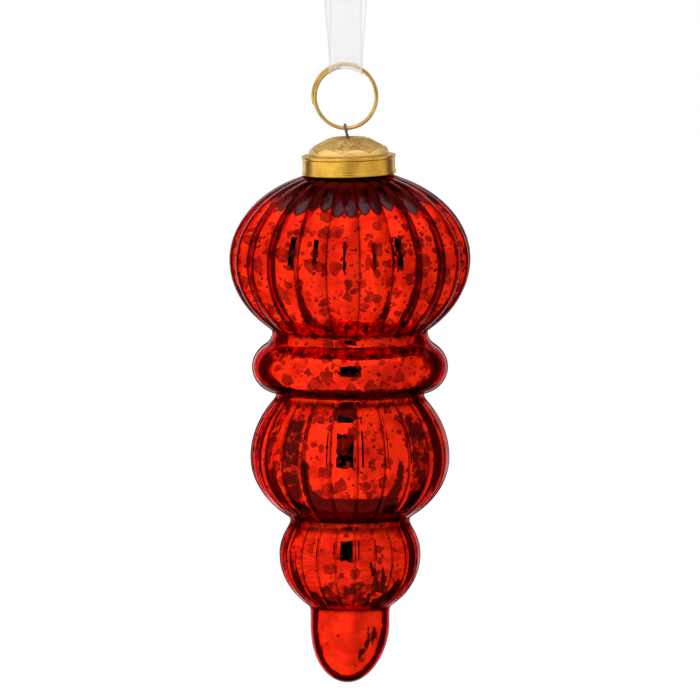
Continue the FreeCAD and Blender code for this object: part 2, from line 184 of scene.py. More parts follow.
LOW_STAIN_ACROSS = ((-34, -14), (20, 40))  # a patch on the lowest bulb
LOW_STAIN_UP = ((-16, -13), (-8.6, -4.2))
LOW_STAIN_SHARE = 0.6
BOW_MIDDLE = 10.7  # degrees, the middle of a bow round an oval on the middle bulb
BOW_HALF_WIDTH = 26.0  # the oval's, in degrees
BOW_DROP = 10.2  # how far down the oval reaches
BOW_OUTSIDE = (29.5, 33.5)  # degrees from its middle
BOW_UP = ((-19.6, -18.6), (-1, 5))
BOW_SHARE = 0.8
HIGH_REFLECTION_ACROSS = ((-2.6, -1.4), (12.8, 14.0))  # a painted reflection of the dark gap in the bright front: an oblong near the middle bulb's top
HIGH_REFLECTION_UP = ((13.9, 14.9), (17.7, 18.7))
LOBE_REFLECTION_UP = (13.0, 17.0)  # a painted reflection of dark surroundings, up and down from the middle bulb's widest level, on some lobes
LOBE_REFLECTION_START = (0.03, 0.12)  # in shares of a lobe
LOBE_REFLECTION_END = (0.72, 0.92)
LOBE_REFLECTION_SHARE = 0.62
LOBE_PICK_TURN = 2.5  # radians from lobe to lobe of a wave whose tops pick the lobes with the painted reflection
LOBE_PICK_START = 9.07
LOBE_PICK = (0.85, 0.97)
STREAKS_ACROSS = ((16, 28), (52, 68))
STREAKS_ABOVE_TIP = (5, 9)
STREAKS_ABOVE_LOWER = (-2, 8)
STREAK_GAP = 4.0  # above the finial's widest level, where there are none
STREAK_GAP_HALF = (2.0, 4.0)

# Cap, in its own frame: heights are above its seat on the glass
CAP_RADIUS = 14.7
CAP_SHEET = 0.4
CAP_DROP = 5.74
CAP_BEAD_RISE = 0.15  # how far the band's two beads stand out
CAP_BAND_SINK = 0.1  # how far the band between them lies in
CAP_LOW_BEAD = (1.0, 1.4)  # above the band's foot
CAP_HIGH_BEAD = (-0.7, -0.45)  # above the seat
CAP_TILT = 1.5
CAP_OFF_CENTRE = 0.45
CAP_LEDGE = 2.4
CAP_SHOULDER_HEIGHT = 2.4
CAP_SHOULDER_ROUND = 2.2
CAP_RIM_RADIUS = 5.2
CAP_CROWN_HEIGHT = 6.0
CAP_DIMPLE_RADIUS = 3.6
CAP_DIMPLE_DEPTH = 0.9
CAP_HOLE_RADIUS = 1.5
CAP_INSIDE_UP = 0.02  # keeps the cap's inside just clear of the rim that it sits on
CAP_PETALS = 8
CAP_PETAL_TURN = 20.5
CAP_PETAL_RISE = 0.3
CAP_PETAL_HEIGHT = 2.7
CAP_NOTCH_HEIGHT = 1.3
CAP_PATTERN_RISE = 0.2
PALMETTE_FROM = 9.7  # radius on the crown that the ribs fan out from
PALMETTE_RIB = 30.0  # degrees from rib to rib
PALMETTE_HALF = (70, 78)  # degrees to either side
PALMETTE_REACH = ((1.0, 1.5), (3.2, 3.6))
SCROLL_ACROSS = 3.0
SCROLL_AT = 9.5  # radius on the crown
SCROLL_RADIUS = 1.15
LATTICE_PITCH = 1.05
LATTICE_HALF = (2.7, 3.0)
LATTICE_FROM = (6.2, 6.5)  # radius on the crown
CAP_COLUMNS = 320
CAP_STEP = 0.14
CAP_INSIDE_STEP = 0.5

# Ribbon
RIBBON_WIDTH = 12.7
RING_RADIUS = 9.75
HANG_TO_RING = 90.0
WRAP_RADIUS = 1.17  # of the fold round the ring's wire
WRAP_Y = 0.3
WRAP_UP = 0.2  # how far above the wire's middle the fold's middle is
LOOP_HALF = 4.15  # half the loop's depth at the hanging point
LOOP_ROUND = 3.8
LAYERS_MEET = 23.0  # above the ring's middle
LAYERS_ROUND = 20.0
LAYER_SWAY = 1.4  # how far the loop's two layers stand to opposite sides half-way up
GATHER = 0.16  # how much narrower the ribbon is at the ring
GATHER_REACH = 32.0
SAG_REACH = 9.0  # how far up from the ring the ribbon follows its round
RIPPLE = 0.16  # of the cloth
RIPPLE_ALONG = 9.0
RIPPLE_ACROSS = 0.35
RIPPLE_FADE = (4.0, 14.0)  # above the fold
RIBBON_STEP = 0.5
RIBBON_COLUMNS = 41
THREAD_PITCH = 0.24
SELVEDGE = (0.9, 0.5)  # from the ribbon's edge


# Small helpers

def smooth_step(low, high, value):
    """0 below low, 1 above high, and smooth between them."""
    t = np.clip((value - low) / (high - low), 0.0, 1.0)
    return t * t * (3 - 2 * t)


def within(value, start, end):
    """1 between two soft edges and 0 outside, where each edge is the two values that it runs between."""
    return smooth_step(*start, value) * smooth_step(end[1], end[0], value)


def soft_max(a, b, size):
    """The larger of two values, with a fillet of about that size where they cross."""
    return (a + b) / 2 + np.sqrt(((a - b) / 2) ** 2 + size ** 2)


def rounded(points, radii, step):
    """A polyline through points with a tangent arc at each inner point, sampled every step."""
    corners = [np.array(p, float) for p in points]
    line = [corners[0]]
    for before, corner, after, radius in zip(corners, corners[1:], corners[2:], radii):
        arriving = (corner - before) / np.linalg.norm(corner - before)
        leaving = (after - corner) / np.linalg.norm(after - corner)
        turn = math.acos(np.clip(arriving @ leaving, -1, 1))
        reach = radius * math.tan(turn / 2)
        first = corner - arriving * reach
        inward = leaving - arriving * math.cos(turn)
        inward /= np.linalg.norm(inward)
        count = max(2, math.ceil(radius * turn / step))
        for index in range(count + 1):
            angle = turn * index / count
            along, aside = radius * math.sin(angle), radius * (1 - math.cos(angle))
            line.append(first + arriving * along + inward * aside)
    line.append(corners[-1])
    return resampled(line, step)


def resampled(line, step):
    """The same polyline with points about a step apart, its ends kept."""
    line = np.array(line)
    lengths = np.linalg.norm(np.diff(line, axis=0), axis=1)
    places = np.concatenate([[0], np.cumsum(lengths)])
    count = max(2, round(places[-1] / step))
    wanted = np.linspace(0, places[-1], count + 1)
    return np.stack([np.interp(wanted, places, column) for column in line.T], axis=1)


def grid_faces(rows, columns, wrap_columns=True, wrap_rows=False, first=0):
    """Quads between the neighbours of a grid of points whose first point has that number."""
    row_count = rows if wrap_rows else rows - 1
    column_count = columns if wrap_columns else columns - 1
    r, c = np.meshgrid(np.arange(row_count), np.arange(column_count), indexing="ij")
    next_r, next_c = (r + 1) % rows, (c + 1) % columns
    quads = np.stack(
        [r * columns + c, next_r * columns + c, next_r * columns + next_c, r * columns + next_c], axis=-1
    )
    return (quads.reshape(-1, 4) + first).tolist()


def new_piece(name, points, faces, material, closed=True):
    """A smooth mesh piece. A closed one gets its faces turned outward."""
    mesh = bpy.data.meshes.new(name)
    mesh.from_pydata(np.asarray(points).reshape(-1, 3).tolist(), [], faces)
    if closed:
        shell = bmesh.new()
        shell.from_mesh(mesh)
        bmesh.ops.recalc_face_normals(shell, faces=shell.faces)
        shell.to_mesh(mesh)
        shell.free()
    mesh.polygons.foreach_set("use_smooth", [True] * len(mesh.polygons))
    mesh.materials.append(material)
    piece = bpy.data.objects.new(name, mesh)
    bpy.context.scene.collection.objects.link(piece)
    return piece


def mark(piece, name, values):
    """Stores a value at each point of a piece, for its material."""
    marks = piece.data.attributes.new(name, "FLOAT", "POINT")
    marks.data.foreach_set("value", np.asarray(values, float).ravel())


def around(radius, height, turn):
    """Points about the Z axis, from radii, heights and turns in radians from the front towards +X."""
    x, y, z = np.broadcast_arrays(radius * np.sin(turn), -radius * np.cos(turn), height)
    return np.stack([x, y, z], axis=-1)


# Material helper

class Nodes:
    """The node tree of a material or a world, with short calls to add a node and set or link its inputs."""

    def __init__(self, owner):
        self.owner = owner
        owner.use_nodes = True
        self.tree = owner.node_tree
        self.tree.nodes.clear()

    def add(self, kind, inputs=(), **settings):
        node = self.tree.nodes.new("ShaderNode" + kind)
        for key, value in settings.items():
            setattr(node, key, value)
        for key, value in dict(inputs).items():
            if isinstance(value, bpy.types.NodeSocket):
                self.tree.links.new(value, node.inputs[key])
            else:
                node.inputs[key].default_value = value
        return node

    def math(self, operation, *values):
        return self.add("Math", enumerate(values), operation=operation).outputs[0]

    def vector(self, operation, *values):
        return self.add("VectorMath", enumerate(values), operation=operation).outputs[0]

    def dot(self, vector, fixed):
        node = self.add("VectorMath", {0: vector, 1: tuple(fixed)}, operation="DOT_PRODUCT")
        return node.outputs["Value"]

    def range(self, value, low, high, to_low=0.0, to_high=1.0):
        """Smoothly maps a value from low..high to to_low..to_high."""
        node = self.add(
            "MapRange",
            {"Value": value, "From Min": low, "From Max": high, "To Min": to_low, "To Max": to_high},
            interpolation_type="SMOOTHSTEP",
        )
        return node.outputs[0]

    def mix(self, factor, a, b):
        """A colour between two colours."""
        return self.add("Mix", {0: factor, 6: a, 7: b}, data_type="RGBA").outputs[2]

    def noise(self, vector, scale, detail=2.0, roughness=0.5, output="Fac"):
        inputs = {"Vector": vector, "Scale": scale, "Detail": detail, "Roughness": roughness}
        return self.add("TexNoise", inputs).outputs[output]

    def attribute(self, name):
        return self.add("Attribute", attribute_name=name).outputs["Fac"]

    def place(self):
        """The place on the object, in metres."""
        return self.add("TexCoord").outputs["Object"]

    def finish(self, shader):
        world = isinstance(self.owner, bpy.types.World)
        output = self.add("OutputWorld" if world else "OutputMaterial")
        self.tree.links.new(shader.outputs[0], output.inputs["Surface"])
        return self.owner


def new_material(name):
    """The node tree of a new material."""
    return Nodes(bpy.data.materials.new(name))


def colour(red, green, blue):
    """Linear colour from 0..255 display values."""
    return tuple((v / 255) ** 2.2 for v in (red, green, blue)) + (1.0,)


# Materials

# The silvered layer as the red glass shows it
SILVER_DEEP = (0.62, 0.010, 0.002, 1.0)
SILVER_BRIGHT = (0.93, 0.024, 0.004, 1.0)
SPOT_DARK = colour(104, 14, 6)
SPOT_BRIGHT = colour(176, 28, 13)
SPOT_RIM = colour(74, 12, 8)
# Dark brown-red for stains, painted shade and painted reflections
SHADE_AND_STAIN = colour(68, 12, 5)
LEVEL_LINE = colour(140, 14, 6)
STREAK = colour(56, 12, 8)
# The collar: thinned silvering under a painted reflection of the dark overhead; its pale ovals are painted
# reflections
COLLAR = colour(54, 12, 12)
OVAL_REFLECTION = colour(68, 47, 51)
# Painted shade in the grooves and where a bulb meets a smooth stretch
GROOVE = colour(40, 10, 7)
GLASS_TINT = (0.6, 0.04, 0.04, 1.0)  # towards the silhouettes

# Spots: a cell's size in mm, least and most radius in cells, share of the cells with a spot, and a seed
LARGE_SPOTS = (4.4, 0.28, 0.62, 0.70, 0.0)
MIDDLE_SPOTS = (2.4, 0.22, 0.58, 0.62, 0.31)
SMALL_SPOTS = (1.3, 0.18, 0.50, 0.36, 0.77)
SPOT_WOBBLE = 3.0 * MM  # how far noise moves the spots' edges
GLASS_RIPPLE = 0.4 * MM  # height of the mirror's slow waves

# Gold-coloured metal: clean and tarnished, and the petals' painted highlight
BAND_GOLD = (colour(232, 180, 76), colour(212, 156, 60))
CROWN_GOLD = (colour(216, 172, 100), colour(192, 148, 78))
# Painted highlight: the petals paler than the rest of the crown
LIT_PETAL_GOLD = colour(238, 200, 122)
RING_GOLD = (colour(216, 174, 98), colour(184, 140, 70))


def blotches(n, place, crowd, size, least, most, share, seed):
    """Spots of random sizes: how deep inside a spot, in shares of the cell size, and 1 or 0 for inside."""
    moved = n.vector("ADD", place, (seed, seed * 0.7, seed * 0.3))
    scale = 1 / (size * MM)
    cells = n.add("TexVoronoi", {"Vector": moved, "Scale": scale, "Randomness": 0.95}, feature="F1")
    random = n.add("SeparateColor", {"Color": cells.outputs["Color"]})
    radius = n.range(random.outputs["Red"], 0, 1, least, most)
    there = n.math("LESS_THAN", random.outputs["Green"], n.math("MULTIPLY", crowd, share))
    depth = n.math("SUBTRACT", radius, cells.outputs["Distance"])
    return depth, n.math("MULTIPLY", n.range(depth, 0.0, 0.06), there)


def bent_places(n, place):
    """Places that noise has moved a little, for uneven edges."""
    wobble = n.noise(place, 300.0, 3.0, 0.6, output="Color")
    offset = n.vector("SUBTRACT", wobble, (0.5, 0.5, 0.5))
    return n.vector("MULTIPLY_ADD", offset, (SPOT_WOBBLE,) * 3, place)


def mottled_silver(n, place, bent, crowd):
    """The colour of the silvered layer with its dull spots, and 1 inside them."""
    large_depth, large = blotches(n, bent, crowd, *LARGE_SPOTS)
    middle = blotches(n, bent, crowd, *MIDDLE_SPOTS)[1]
    small = blotches(n, bent, crowd, *SMALL_SPOTS)[1]
    spots = n.math("MAXIMUM", large, n.math("MAXIMUM", middle, small))
    spot = n.mix(n.range(n.noise(bent, 380.0, 3.0, 0.6), 0.35, 0.65), SPOT_DARK, SPOT_BRIGHT)
    silver = n.mix(n.range(n.noise(bent, 150.0, 3.0), 0.35, 0.62), SILVER_DEEP, SILVER_BRIGHT)
    base = n.mix(n.math("MULTIPLY", spots, 0.88), silver, spot)
    rim = n.math("MULTIPLY", large, n.range(large_depth, 0.04, 0.12, 1.0, 0.0))
    dots = n.math("MULTIPLY", small, n.range(n.noise(place, 130.0), 0.45, 0.6))
    dark = n.math("MAXIMUM", n.math("MULTIPLY", rim, 0.45), n.math("MULTIPLY", dots, 0.75))
    return n.mix(dark, base, SPOT_RIM), spots


def stained_and_shaded(n, base, bent, cloud, crowd):
    """The layer's colour with stains, painted shade and painted reflections, level lines, streaks, and the
    collar with its pale ovals.
    """
    # Stains, painted shade and painted reflections, from the deep mark.
    shade_and_stain = n.math("ADD", n.math("MULTIPLY", n.attribute("deep"), 1.3), n.math("MULTIPLY", cloud, 0.6))
    base = n.mix(n.math("MULTIPLY", n.range(shade_and_stain, 0.7, 1.1), 0.96), base, SHADE_AND_STAIN)
    flattened = n.vector("MULTIPLY", bent, (0.2, 0.2, 2.6))
    lines = n.math("MULTIPLY", n.range(crowd, 0.06, 0.2), n.range(crowd, 0.4, 0.6, 0.4, 0.0))
    lines = n.math("MULTIPLY", lines, n.range(n.noise(flattened, 500.0), 0.48, 0.62))
    base = n.mix(lines, base, LEVEL_LINE)
    drawn_out = n.vector("MULTIPLY", bent, (1.0, 1.0, 0.2))
    streaks = n.math("ADD", n.attribute("streak"), n.noise(drawn_out, 460.0))
    base = n.mix(n.math("MULTIPLY", n.range(streaks, 1.46, 1.54), 0.95), base, STREAK)
    # The collar, thinned silvering with a painted reflection, and its pale ovals, painted reflections.
    collar = n.math("ADD", n.attribute("collar"), n.noise(bent, 90.0, 3.0, 0.6))
    base = n.mix(n.math("MULTIPLY", n.range(collar, 0.85, 1.05), 0.94), base, COLLAR)
    return n.mix(n.math("MULTIPLY", n.attribute("oval_reflection"), 0.94), base, OVAL_REFLECTION)


def red_glass():
    """Red glass over a mottled silvered layer: a bright red mirror with dull brown-red spots."""
    n = new_material("red_mercury_glass")
    place = n.place()
    bent = bent_places(n, place)
    crease, crowd = n.attribute("crease"), n.attribute("crowd")
    cloud = n.range(n.noise(bent, 260.0, 3.0, 0.6), 0.3, 0.7)
    base, spots = mottled_silver(n, place, bent, crowd)
    base = stained_and_shaded(n, base, bent, cloud, crowd)
    # Painted shade along the grooves and the seams.
    base = n.mix(n.math("MULTIPLY", crease, n.range(cloud, 0.1, 0.8, 0.97, 0.75)), base, GROOVE)
    dull = n.math("MULTIPLY", n.math("MAXIMUM", spots, crease), 0.2)
    ridges = n.add("Bump", {"Height": n.attribute("ridge"), "Strength": 1.0, "Distance": 1.0})
    ripple = n.add(
        "Bump",
        {
            "Height": n.noise(place, 110.0, 3.0, 0.55),
            "Strength": 1.0,
            "Distance": GLASS_RIPPLE,
            "Normal": ridges.outputs[0],
        },
    )
    facing_away = n.add("LayerWeight", {"Blend": 0.5}).outputs["Facing"]
    glaze = n.math("MULTIPLY", n.math("SUBTRACT", 1.0, crease), n.range(facing_away, 0.72, 0.84, 0.05, 0.6))
    shader = n.add(
        "BsdfPrincipled",
        {
            "Base Color": base,
            "Metallic": 1.0,
            "Roughness": n.math("ADD", 0.045, dull),
            "Specular Tint": GLASS_TINT,
            "Coat Weight": glaze,
            "Coat Roughness": 0.015,
            "Coat IOR": 1.5,
            "Normal": ripple.outputs[0],
        },
    )
    return n.finish(shader)


def tarnish(n):
    """Faint clouds, from 0 to 1."""
    return n.range(n.noise(n.place(), 240.0, 3.0, 0.6), 0.35, 0.7)


def gold_wire():
    """Satin gold-coloured metal with faint cloudy tarnish."""
    n = new_material("ring_wire")
    cloud = tarnish(n)
    rough = n.math("ADD", 0.13, n.math("MULTIPLY", cloud, 0.06))
    base = n.mix(cloud, *RING_GOLD)
    return n.finish(n.add("BsdfPrincipled", {"Base Color": base, "Metallic": 1.0, "Roughness": rough}))


def stamped_gold():
    """Gold-coloured sheet: glossy on the band, satin on the crown, and palest on the crown's petals, a
    painted highlight.
    """
    n = new_material("gold_cap")
    crown = n.attribute("crown")
    cloud = tarnish(n)
    sheet = n.mix(crown, n.mix(cloud, *BAND_GOLD), n.mix(cloud, *CROWN_GOLD))
    satin = n.range(crown, 0.0, 1.0, 0.28, 0.42)
    shader = n.add(
        "BsdfPrincipled",
        {
            "Base Color": n.mix(n.attribute("petal"), sheet, LIT_PETAL_GOLD),
            "Metallic": n.range(crown, 0.0, 1.0, 1.0, 0.65),
            "Roughness": n.math("ADD", satin, n.math("MULTIPLY", cloud, 0.06)),
        },
    )
    return n.finish(shader)


def dull_steel():
    """Drawn steel wire, dull and slightly streaked."""
    n = new_material("hook_wire")
    streak = n.noise(n.place(), 900.0, 3.0, 0.6)
    base = n.mix(streak, colour(86, 78, 74), colour(148, 140, 134))
    rough = n.math("ADD", 0.28, n.math("MULTIPLY", streak, 0.2))
    return n.finish(n.add("BsdfPrincipled", {"Base Color": base, "Metallic": 1.0, "Roughness": rough}))


def sheer_ribbon():
    """White organza: fine threads both ways with gaps between them, denser along both edges."""
    n = new_material("sheer_ribbon")
    uv = n.add("UVMap", uv_map="Ribbon").outputs[0]
    across_along = n.add("SeparateXYZ", {"Vector": uv})
    threads = []
    for run in (across_along.outputs["X"], across_along.outputs["Y"]):
        wave = n.math("SINE", n.math("MULTIPLY", run, 2 * math.pi / (THREAD_PITCH * MM)))
        threads.append(n.range(wave, -0.5, 0.7))
    from_middle = n.math("ABSOLUTE", across_along.outputs["X"])
    start, end = ((RIBBON_WIDTH / 2 - inset) * MM for inset in SELVEDGE)
    selvedge = n.range(from_middle, start, end)
    density = n.range(n.noise(uv, 300.0), 0.2, 0.8, 0.46, 0.60)
    cloth = n.math("MULTIPLY", n.math("MAXIMUM", *threads), density)
    shader = n.add(
        "BsdfPrincipled",
        {
            "Base Color": n.mix(selvedge, colour(232, 230, 228), colour(216, 214, 212)),
            "Roughness": 0.6,
            "Alpha": n.math("MAXIMUM", cloth, n.math("MULTIPLY", selvedge, 0.72)),
            "Sheen Weight": 0.3,
        },
    )
    return n.finish(shader)


def white_stage():
    """Pale floor that the camera and reflections see as white, and that still takes shadows.

    Its underside is clear, so that the object can be looked at from below.
    """
    n = new_material("pale_floor")
    path = n.add("LightPath")
    diffuse = n.add("BsdfDiffuse", {"Color": (0.8, 0.8, 0.8, 1.0)})
    glow = n.add("Emission", {"Color": (1, 1, 1, 1), "Strength": 0.62})
    plain = n.add("AddShader", {0: diffuse.outputs[0], 1: glow.outputs[0]})
    white = n.add("Emission", {"Color": (1, 1, 1, 1), "Strength": 1.0})
    seen = n.math("MAXIMUM", path.outputs["Is Glossy Ray"], path.outputs["Is Transmission Ray"])
    mixed = n.add("MixShader", {0: seen, 1: plain.outputs[0], 2: white.outputs[0]})
    under = n.add("NewGeometry").outputs["Backfacing"]
    clear = n.add("BsdfTransparent")
    sided = n.add("MixShader", {0: under, 1: mixed.outputs[0], 2: clear.outputs[0]})
    return n.finish(sided)


# Glass

def lobe_radius(angle, share, power):
    """The two neighbouring lobes' radii over the crowns' radius, at angles in degrees from a groove.

    A lobe is round with power 2. With a higher one it is flat in the middle and bends down at the grooves.
    """
    half = math.pi / FLUTES
    turn = np.radians(angle) % (2 * half) - half
    other = turn - np.where(turn >= 0, 1.0, -1.0) * 2 * half
    depth = 1 - share * math.cos(half)
    lobes = []
    for place in (turn, other):
        across = np.minimum(np.abs(np.tan(place)) / math.tan(half), LOBE_REACH)
        lobes.append((1 - depth * across ** power) / np.cos(place))
    return lobes


class Bulb:
    """An oval fluted bulb.

    The level and radius are those of its widest place, and rise and fall are its halves. Share is a groove's
    radius over a crown's, and power is how flat the lobes are.
    """

    def __init__(self, level, radius, rise, fall, share, power):
        self.level, self.radius, self.rise, self.fall = level, radius, rise, fall
        self.share, self.power = share, power

    def lobes(self, angle):
        return lobe_radius(angle, self.share, self.power)

    def crown(self, height):
        """Radius over the lobes' crowns at heights, 0 outside the bulb."""
        half = np.where(height > self.level, self.rise, self.fall)
        inside = np.maximum(1 - ((height - self.level) / half) ** 2, 0.0)
        return self.radius * np.sqrt(inside)


def glass_middle():
    """The place of the glass's axis along X, in mm."""
    low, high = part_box("glass_body")
    return (low[0] + high[0]) / 2 / MM


def glass_levels():
    """The levels of the glass's features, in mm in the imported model's frame, from the finial's tip up."""
    low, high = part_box("glass_body")
    tip = low[2] / MM
    levels = {"tip": tip, "finial": tip + FINIAL_LENGTH, "rim": high[2] / MM}
    levels["lower"] = levels["finial"] + FINIAL_TO_LOWER
    levels["middle"] = levels["lower"] + LOWER_TO_MIDDLE
    levels["bead"] = levels["middle"] + MIDDLE_TO_BEAD
    levels["waist"] = levels["bead"] + BEAD_TO_WAIST
    levels["upper"] = levels["waist"] + WAIST_TO_UPPER
    return levels


def smooth_radius(z, at):
    """Radius of the smooth stretches of the glass at heights: neck, waists, bead and finial."""
    radius = np.where(z > at["upper"], NECK_RADIUS, 0.0)
    drop = np.clip(at["waist"] - z, 0, FLARE_DROP)
    flare = WAIST_RADIUS + WAIST_FLARE - np.sqrt(WAIST_FLARE ** 2 - drop ** 2)
    in_flare = (z <= at["upper"]) & (z > at["bead"])
    radius = np.where(in_flare, flare, radius)
    inside = np.maximum(BEAD_ROUND ** 2 - (z - at["bead"]) ** 2, 0.0)
    bead = np.where(inside > 0, BEAD_RADIUS - BEAD_ROUND + np.sqrt(inside), 0.0)
    below = (z <= at["bead"]) & (z > at["middle"])
    radius = np.where(below, SECOND_WAIST_RADIUS, radius)
    radius = np.where(z <= at["middle"], THIRD_WAIST_RADIUS, radius)
    finial = FINIAL_RADIUS * np.sqrt(
        np.clip(1 - (np.minimum(z - at["finial"], 0) / FINIAL_LENGTH) ** 2, 0, 1)
    )
    radius = np.where(z <= at["lower"], finial, radius)
    return soft_max(radius, bead, CREASE_ROUND * (bead > 0))


def glass_radius(z, angle, at, bulbs):
    """The outer radius of the glass at heights (rows) and angles in degrees (columns)."""
    heights = z[:, None]
    radius = smooth_radius(heights, at) + 0 * angle[None, :]
    for bulb in bulbs:
        crown = bulb.crown(heights)
        one, other = bulb.lobes(angle[None, :] - FLUTE_TURN)
        lobes = soft_max(crown * one, crown * other, GROOVE_ROUND)
        radius = soft_max(radius, np.where(crown > 0, lobes, 0.0), CREASE_ROUND * (crown > 0))
    return radius


def distance_from_groove(angle, radius):
    """Distance in mm from the nearest groove, along the surface's round, at angles in degrees."""
    pitch = 360.0 / FLUTES
    turn = (angle - FLUTE_TURN + pitch / 2) % pitch - pitch / 2
    return np.radians(np.abs(turn)) * radius


def lobe_places(angle):
    """A lobe's number, counted both ways from 0 near the front, and the share of it that is passed."""
    place = (angle - FLUTE_TURN + 360) * FLUTES / 360 + 1e-6  # a groove's own column is the next lobe's
    number = np.floor(place) % FLUTES
    return np.where(number > FLUTES / 2, number - FLUTES, number), place % 1


def groove_lines(heights, angle, smooth, bulbs):
    """1 along the grooves and where a bulb meets a smooth stretch, for painted shade in these creases."""
    crease = np.zeros(smooth.shape)
    for bulb, groove_share in zip(bulbs, GROOVE_SHARE):
        crown = bulb.crown(heights)
        one, other = bulb.lobes(angle - FLUTE_TURN)
        lobe = crown * np.maximum(one, other)
        on_bulb = smooth_step(-1.0, 1.0, lobe - smooth) * (crown > 0)
        line = groove_share * np.exp(-(distance_from_groove(angle, lobe) / GROOVE_LINE) ** 2)
        seam = np.exp(-((lobe - smooth) / SEAM_LINE) ** 2) * (crown > 0)
        crease = np.maximum(crease, np.maximum(line * on_bulb, seam))
    return crease


def spot_crowding(heights, at):
    """How crowded the dull spots are."""
    levels = [at[name] + rise for name, rise, crowd in SPOT_CROWDING]
    return np.interp(heights, levels, [crowd for name, rise, crowd in SPOT_CROWDING])


def collar_marks(rise, angle, azimuth):
    """The collar on the upper bulb, thinned silvering under a painted reflection of the dark overhead, and
    its pale ovals, painted reflections; both fainter on the flanks.
    """
    from_groove = distance_from_groove(angle, 1.0) * FLUTES / math.pi
    sway = COLLAR_SWAY * np.sin(COLLAR_SWAY_TURN * lobe_places(angle)[0])
    arch = COLLAR_ARCH * (2 * from_groove - 1) ** 2 + sway
    collar = smooth_step(-COLLAR_FADE, COLLAR_FADE, rise - COLLAR_UP - arch)
    off_level = rise - OVAL_REFLECTIONS_UP - sway
    oval = 1 - ((from_groove - 0.5) / OVAL_REFLECTION_HALF_WIDTH) ** 2 - (off_level / OVAL_REFLECTION_HALF_HEIGHT) ** 2
    off_middle = np.abs(azimuth - COLLAR_MIDDLE)
    front = smooth_step(COLLAR_SIDES[1], COLLAR_SIDES[0], off_middle)
    front = COLLAR_SIDE_SHARE + (1 - COLLAR_SIDE_SHARE) * front
    return collar * front, smooth_step(0.0, 0.4, oval) * front


def mirror_ridges(heights, angle, smooth, at, bulbs):
    """How far the mirror stands out, in mm, which turns its normals on the upper and the middle bulb."""
    upper = bulbs[0].crown(heights)
    from_crown = np.radians(180.0 / FLUTES) * upper - distance_from_groove(angle, upper)
    ridge = -RIDGE_SLOPE * np.hypot(from_crown, RIDGE_ROUND) * (upper > smooth)
    return ridge + TOP_SLOPE * (np.clip(heights - at["middle"], *TOP_UP) - TOP_UP[0])


def dark_feet(heights, at, bulbs):
    """Painted shade all round: towards each bulb's foot, above and below the bead's middle, and at the tip.
    """
    deep = smooth_step(at["tip"] + TIP_FADE[1], at["tip"] + TIP_FADE[0], heights)
    for bulb, drop, share, foot in zip(bulbs, FOOT_DOWN, FOOT_SHARE, BULB_FEET):
        level = bulb.level - drop
        end = bulb.level - bulb.fall * math.sqrt(1 - (foot / bulb.radius) ** 2)
        fade = smooth_step(level + FOOT_FADE[1], level + FOOT_FADE[0], heights)
        deep = np.maximum(deep, share * fade * (heights > end))
    for start, end, share in SHADED_BANDS:
        fades = [(edge - SHADED_BAND_SOFT, edge + SHADED_BAND_SOFT) for edge in (start, end)]
        deep = np.maximum(deep, share * within(at["bead"] - heights, *fades))
    return deep


def bow_stain(rise, azimuth):
    """The dark bow on the middle bulb, round the lower half of an oval."""
    off_middle = np.abs(azimuth - BOW_MIDDLE)
    oval = (off_middle / BOW_HALF_WIDTH) ** 4 + (np.minimum(rise, 0) / BOW_DROP) ** 4
    outside = smooth_step(0.8, 1.2, oval) * smooth_step(BOW_OUTSIDE[1], BOW_OUTSIDE[0], off_middle)
    return outside * within(rise, *BOW_UP)


def lobe_reflections(rise, angle):
    """Some of the middle bulb's lobes, dark over most of their width: a painted reflection of dark
    surroundings.
    """
    number, across = lobe_places(angle)
    picked = smooth_step(*LOBE_PICK, np.sin(LOBE_PICK_TURN * number + LOBE_PICK_START))
    level = smooth_step(LOBE_REFLECTION_UP[1], LOBE_REFLECTION_UP[0], np.abs(rise))
    return picked * within(across, LOBE_REFLECTION_START, LOBE_REFLECTION_END) * level


def shade_and_stains(heights, angle, azimuth, at, bulbs):
    """All dark places on the silvering: painted shade at the feet, by the bead and at the tip, painted
    reflections on some lobes and near the middle bulb's top, and stains.
    """
    middle = heights - at["middle"]
    low = within(azimuth, *LOW_STAIN_ACROSS) * within(heights - at["lower"], *LOW_STAIN_UP)
    # A painted reflection of the dark gap near the middle bulb's top.
    high = within(azimuth, *HIGH_REFLECTION_ACROSS) * within(middle, *HIGH_REFLECTION_UP)
    # Painted shade towards the feet, by the bead and at the tip, and a stain on the lowest bulb.
    deep = np.maximum(dark_feet(heights, at, bulbs), LOW_STAIN_SHARE * low)
    # Painted reflections of dark surroundings on some of the middle bulb's lobes.
    deep = np.maximum(deep, LOBE_REFLECTION_SHARE * lobe_reflections(middle, angle))
    return np.maximum(np.maximum(deep, BOW_SHARE * bow_stain(middle, azimuth)), high)


def streak_marks(heights, azimuth, at):
    """Where dark upright streaks can stand: right of the front, on the finial and the lowest bulb."""
    start = [at["tip"] + rise for rise in STREAKS_ABOVE_TIP]
    end = [at["lower"] + rise for rise in STREAKS_ABOVE_LOWER]
    streaks = within(azimuth, *STREAKS_ACROSS) * within(heights, start, end)
    return streaks * smooth_step(*STREAK_GAP_HALF, np.abs(heights - at["finial"] - STREAK_GAP))


